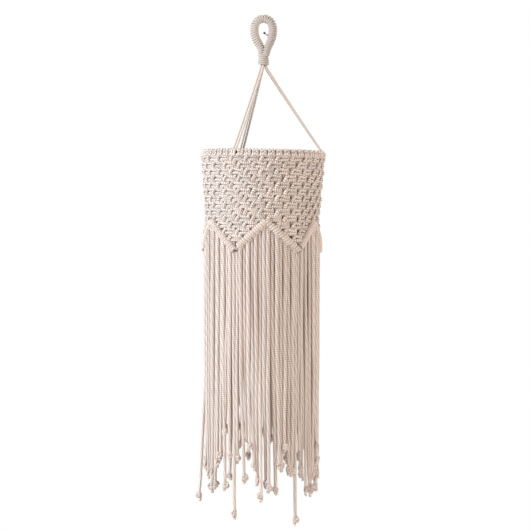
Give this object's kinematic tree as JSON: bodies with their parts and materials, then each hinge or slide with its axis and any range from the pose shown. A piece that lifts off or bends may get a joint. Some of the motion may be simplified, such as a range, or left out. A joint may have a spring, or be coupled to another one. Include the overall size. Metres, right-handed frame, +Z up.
{
  "type": "hanging macrame planter sleeve",
  "caption": "Open macrame sleeve of knotted cotton cord on a covered hoop, hung by three pairs of cords from a wrapped loop, with a zigzag edge and long knotted fringe.",
  "frame": {"origin": "inner crown of the hanging loop's eye, where a hook bears", "axes": "+Z up, +X to the right seen from the front, front faces -Y"},
  "size_m": [0.1846, 0.1846, 0.7483],
  "materials": {
    "loop_cord": "wound twisted cotton cord, matt",
    "hanger_cord": "fine twisted cotton cord, matt",
    "knotted_cord": "natural braided cotton cord, matt",
    "fringe_cord": "natural braided cotton cord, matt",
    "hoop_steel": "drawn steel wire, welded"
  },
  "bodies": {
    "hanging_loop": {"loop_wrap": "loop_cord", "loop_core": "loop_cord", "gathering_wrap": "loop_cord"},
    "ring": {"hanger_cord_1": "hanger_cord", "hanger_cord_2": "hanger_cord", "hanger_cord_3": "hanger_cord", "hanger_cord_4": "hanger_cord", "hanger_cord_5": "hanger_cord", "hanger_cord_6": "hanger_cord", "hoop": "hoop_steel", "larks_head_row": "knotted_cord", "knot_row_01": "knotted_cord", "knot_row_02": "knotted_cord", "knot_row_03": "knotted_cord", "knot_row_04": "knotted_cord", "knot_row_05": "knotted_cord", "knot_row_06": "knotted_cord", "knot_row_07": "knotted_cord", "knot_row_08": "knotted_cord", "knot_row_09": "knotted_cord", "knot_row_10": "knotted_cord", "point_1": "knotted_cord", "hitch_bar_1_left": "knotted_cord", "hitch_bar_1_right": "knotted_cord", "point_2": "knotted_cord", "hitch_bar_2_left": "knotted_cord", "hitch_bar_2_right": "knotted_cord", "point_3": "knotted_cord", "hitch_bar_3_left": "knotted_cord", "hitch_bar_3_right": "knotted_cord", "point_4": "knotted_cord", "hitch_bar_4_left": "knotted_cord", "hitch_bar_4_right": "knotted_cord", "point_5": "knotted_cord", "hitch_bar_5_left": "knotted_cord", "hitch_bar_5_right": "knotted_cord", "point_6": "knotted_cord", "hitch_bar_6_left": "knotted_cord", "hitch_bar_6_right": "knotted_cord"},
    "fringe_1": {"fringe_1_left": "fringe_cord", "fringe_1_right": "fringe_cord", "long_strand_1": "fringe_cord"},
    "fringe_2": {"fringe_2_left": "fringe_cord", "fringe_2_right": "fringe_cord", "long_strand_2": "fringe_cord"},
    "fringe_3": {"fringe_3_left": "fringe_cord", "fringe_3_right": "fringe_cord", "long_strand_3": "fringe_cord"},
    "fringe_4": {"fringe_4_left": "fringe_cord", "fringe_4_right": "fringe_cord", "long_strand_4": "fringe_cord"},
    "fringe_5": {"fringe_5_left": "fringe_cord", "fringe_5_right": "fringe_cord", "long_strand_5": "fringe_cord"},
    "fringe_6": {"fringe_6_left": "fringe_cord", "fringe_6_right": "fringe_cord", "long_strand_6": "fringe_cord"}
  },
  "joints": [
    {"name": "ring_twist", "type": "hinge", "parent": "hanging_loop", "child": "ring", "pos_m": [0, 0, -0.064], "axis": [0, 0, 1], "range_deg": [-60, 60], "stiffness_Nm_per_rad": 0.03},
    {"name": "fringe_1_swing", "type": "hinge", "parent": "ring", "child": "fringe_1", "pos_m": [0.04248, -0.06591, -0.30863], "axis": [-0.829, -0.5592, 0], "range_deg": [0, 30]},
    {"name": "fringe_2_swing", "type": "hinge", "parent": "ring", "child": "fringe_2", "pos_m": [0.07733, 0.00555, -0.30913], "axis": [0.0698, -0.9976, 0], "range_deg": [0, 30]},
    {"name": "fringe_3_swing", "type": "hinge", "parent": "ring", "child": "fringe_3", "pos_m": [0.03287, 0.07145, -0.30849], "axis": [0.8988, -0.4384, 0], "range_deg": [0, 30]},
    {"name": "fringe_4_swing", "type": "hinge", "parent": "ring", "child": "fringe_4", "pos_m": [-0.04642, 0.06591, -0.30734], "axis": [0.829, 0.5592, 0], "range_deg": [0, 30]},
    {"name": "fringe_5_swing", "type": "hinge", "parent": "ring", "child": "fringe_5", "pos_m": [-0.08127, -0.00555, -0.30684], "axis": [-0.0698, 0.9976, 0], "range_deg": [0, 30]},
    {"name": "fringe_6_swing", "type": "hinge", "parent": "ring", "child": "fringe_6", "pos_m": [-0.03682, -0.07145, -0.30748], "axis": [-0.8988, 0.4384, 0], "range_deg": [0, 30]}
  ]
}
